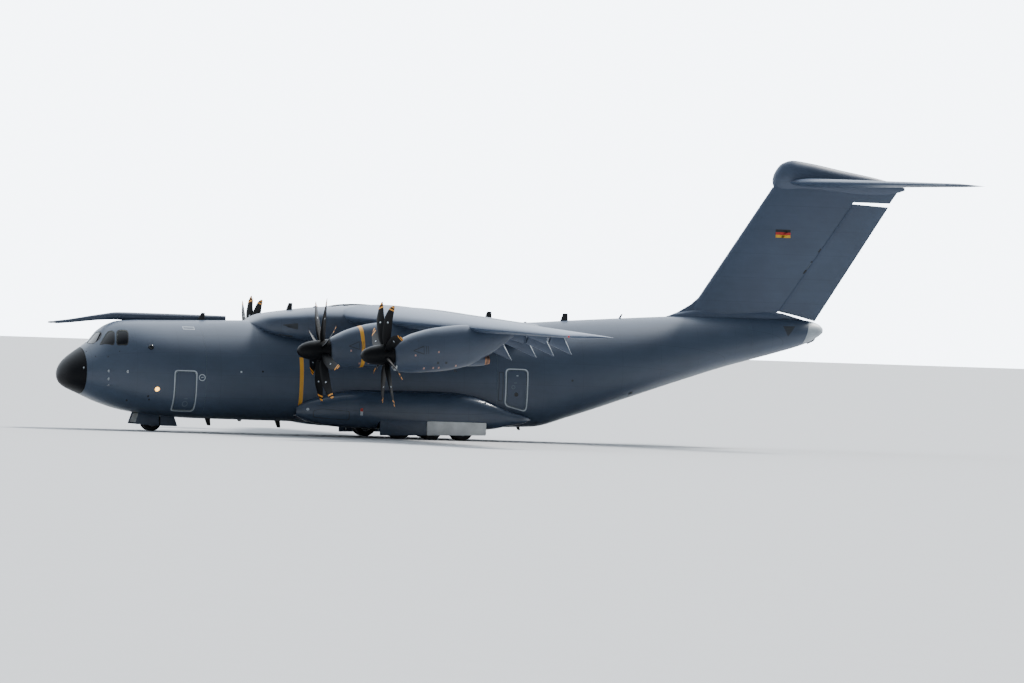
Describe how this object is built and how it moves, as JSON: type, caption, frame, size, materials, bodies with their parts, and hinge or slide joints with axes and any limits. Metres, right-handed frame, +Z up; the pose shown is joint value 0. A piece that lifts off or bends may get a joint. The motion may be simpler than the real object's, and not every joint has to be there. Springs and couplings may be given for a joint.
{
  "type": "four-engine military transport plane, 1:2 scale model",
  "caption": "High-wing four-propeller military transport plane with a T tail, rear loading ramp and sponson-mounted gear, parked on its wheels.",
  "frame": {"origin": "centre of the bounding box at ground level", "axes": "+X aft along the fuselage, +Y to the right wing tip, +Z up"},
  "size_m": [22.85, 21.2, 7.37],
  "materials": {
    "skin_grey": "satin",
    "composite_grey": "satin",
    "door_grey": "satin",
    "radome_grey": "satin",
    "propeller_black": "satin",
    "gear_steel": "satin",
    "engine_steel": "satin",
    "tyre_black": "matte",
    "cockpit_glass": "gloss",
    "deck_grey": "matte"
  },
  "bodies": {
    "airframe": {"radome": "radome_grey", "nose_section": "skin_grey", "cockpit_glazing": "cockpit_glass", "flight_deck": "deck_grey", "forward_fuselage": "skin_grey", "centre_fuselage": "skin_grey", "aft_fuselage": "skin_grey", "tail_cone": "skin_grey", "hold_floor": "deck_grey", "refuelling_probe": "composite_grey", "wing_fairing": "composite_grey", "wing_left": "composite_grey", "sponson_left": "composite_grey", "main_gear_door_left": "door_grey", "main_gear_left": "gear_steel", "paratroop_door_left": "composite_grey", "wing_right": "composite_grey", "sponson_right": "composite_grey", "main_gear_door_right": "door_grey", "main_gear_right": "gear_steel", "paratroop_door_right": "composite_grey", "nacelle_left_outer": "composite_grey", "engine_left_outer": "engine_steel", "nacelle_left_inner": "composite_grey", "engine_left_inner": "engine_steel", "nacelle_right_inner": "composite_grey", "engine_right_inner": "engine_steel", "nacelle_right_outer": "composite_grey", "engine_right_outer": "engine_steel", "nose_leg": "gear_steel", "nose_door_front_left": "door_grey", "nose_door_rear_left": "door_grey", "nose_door_front_right": "door_grey", "nose_door_rear_right": "door_grey", "fin": "composite_grey", "fin_top_fairing": "composite_grey", "tailplane": "composite_grey"},
    "propeller_left_outer": {"propeller_left_outer": "propeller_black"},
    "propeller_left_inner": {"propeller_left_inner": "propeller_black"},
    "propeller_right_inner": {"propeller_right_inner": "propeller_black"},
    "propeller_right_outer": {"propeller_right_outer": "propeller_black"},
    "nose_fork": {"nose_fork": "gear_steel"},
    "nose_wheels": {"nose_wheels": "tyre_black"},
    "main_wheels_left_front": {"main_wheels_left_front": "tyre_black"},
    "main_wheels_left_middle": {"main_wheels_left_middle": "tyre_black"},
    "main_wheels_left_rear": {"main_wheels_left_rear": "tyre_black"},
    "main_wheels_right_front": {"main_wheels_right_front": "tyre_black"},
    "main_wheels_right_middle": {"main_wheels_right_middle": "tyre_black"},
    "main_wheels_right_rear": {"main_wheels_right_rear": "tyre_black"},
    "crew_door": {"crew_door": "skin_grey"},
    "loading_ramp": {"loading_ramp": "skin_grey"},
    "upper_cargo_door": {"upper_cargo_door": "skin_grey"},
    "rudder": {"rudder": "composite_grey"},
    "elevator_left": {"elevator_left": "composite_grey"},
    "elevator_right": {"elevator_right": "composite_grey"},
    "aileron_left": {"aileron_left": "composite_grey"},
    "aileron_right": {"aileron_right": "composite_grey"},
    "flap_left": {"flap_left": "composite_grey"},
    "flap_right": {"flap_right": "composite_grey"}
  },
  "joints": [
    {"name": "propeller_left_outer_spin", "type": "hinge", "parent": "airframe", "child": "propeller_left_outer", "pos_m": [-4.555, -6.3, 2.12], "axis": [0.9976, 0, 0.0698], "continuous": true},
    {"name": "propeller_left_inner_spin", "type": "hinge", "parent": "airframe", "child": "propeller_left_inner", "pos_m": [-5.265, -3.115, 2.165], "axis": [0.9976, 0, 0.0698], "continuous": true},
    {"name": "propeller_right_inner_spin", "type": "hinge", "parent": "airframe", "child": "propeller_right_inner", "pos_m": [-5.265, 3.115, 2.165], "axis": [0.9976, 0, 0.0698], "continuous": true},
    {"name": "propeller_right_outer_spin", "type": "hinge", "parent": "airframe", "child": "propeller_right_outer", "pos_m": [-4.555, 6.3, 2.12], "axis": [0.9976, 0, 0.0698], "continuous": true},
    {"name": "nose_steering", "type": "hinge", "parent": "airframe", "child": "nose_fork", "pos_m": [-8.755, 0, 0.45], "axis": [0, 0, 1], "range_deg": [-60, 60]},
    {"name": "nose_wheels_roll", "type": "hinge", "parent": "nose_fork", "child": "nose_wheels", "pos_m": [-8.755, 0, 0.235], "axis": [0, 1, 0], "continuous": true},
    {"name": "main_wheels_left_front_roll", "type": "hinge", "parent": "airframe", "child": "main_wheels_left_front", "pos_m": [-2.77, -1.565, 0.2725], "axis": [0, 1, 0], "continuous": true},
    {"name": "main_wheels_left_middle_roll", "type": "hinge", "parent": "airframe", "child": "main_wheels_left_middle", "pos_m": [-1.965, -1.565, 0.2725], "axis": [0, 1, 0], "continuous": true},
    {"name": "main_wheels_left_rear_roll", "type": "hinge", "parent": "airframe", "child": "main_wheels_left_rear", "pos_m": [-1.16, -1.565, 0.2725], "axis": [0, 1, 0], "continuous": true},
    {"name": "main_wheels_right_front_roll", "type": "hinge", "parent": "airframe", "child": "main_wheels_right_front", "pos_m": [-2.77, 1.565, 0.2725], "axis": [0, 1, 0], "continuous": true},
    {"name": "main_wheels_right_middle_roll", "type": "hinge", "parent": "airframe", "child": "main_wheels_right_middle", "pos_m": [-1.965, 1.565, 0.2725], "axis": [0, 1, 0], "continuous": true},
    {"name": "main_wheels_right_rear_roll", "type": "hinge", "parent": "airframe", "child": "main_wheels_right_rear", "pos_m": [-1.16, 1.565, 0.2725], "axis": [0, 1, 0], "continuous": true},
    {"name": "crew_door_hinge", "type": "hinge", "parent": "airframe", "child": "crew_door", "pos_m": [-8.25, -1.1325, 0.55], "axis": [1, 0, 0], "range_deg": [0, 100]},
    {"name": "loading_ramp_hinge", "type": "hinge", "parent": "airframe", "child": "loading_ramp", "pos_m": [1.0285, 0, 0.375], "axis": [0, 1, 0], "range_deg": [0, 25]},
    {"name": "upper_cargo_door_hinge", "type": "hinge", "parent": "airframe", "child": "upper_cargo_door", "pos_m": [6.4215, 0, 2.24635], "axis": [0, 1, 0], "range_deg": [0, 18]},
    {"name": "rudder_hinge", "type": "hinge", "parent": "airframe", "child": "rudder", "pos_m": [7.70116, 0, 3.525], "axis": [0.5635, 0, 0.8261], "range_deg": [-30, 30]},
    {"name": "elevator_left_hinge", "type": "hinge", "parent": "airframe", "child": "elevator_left", "pos_m": [9.6471, -0.375, 6.81], "axis": [-0.321, 0.9471, 0], "range_deg": [-25, 20]},
    {"name": "elevator_right_hinge", "type": "hinge", "parent": "airframe", "child": "elevator_right", "pos_m": [9.6471, 0.375, 6.81], "axis": [0.321, 0.9471, 0], "range_deg": [-25, 20]},
    {"name": "aileron_left_hinge", "type": "hinge", "parent": "airframe", "child": "aileron_left", "pos_m": [-0.62949, -7.725, 2.82071], "axis": [-0.0965, 0.9948, 0.0318], "range_deg": [-25, 25]},
    {"name": "aileron_right_hinge", "type": "hinge", "parent": "airframe", "child": "aileron_right", "pos_m": [-0.62949, 7.725, 2.82071], "axis": [0.0965, 0.9948, -0.0318], "range_deg": [-25, 25]},
    {"name": "flap_left_hinge", "type": "hinge", "parent": "airframe", "child": "flap_left", "pos_m": [-1.19001, -1.56, 2.46497], "axis": [-0.0936, 0.9955, -0.0125], "range_deg": [-18, 20]},
    {"name": "flap_right_hinge", "type": "hinge", "parent": "airframe", "child": "flap_right", "pos_m": [-1.19001, 1.56, 2.46497], "axis": [0.0936, 0.9955, 0.0125], "range_deg": [-18, 20]}
  ]
}
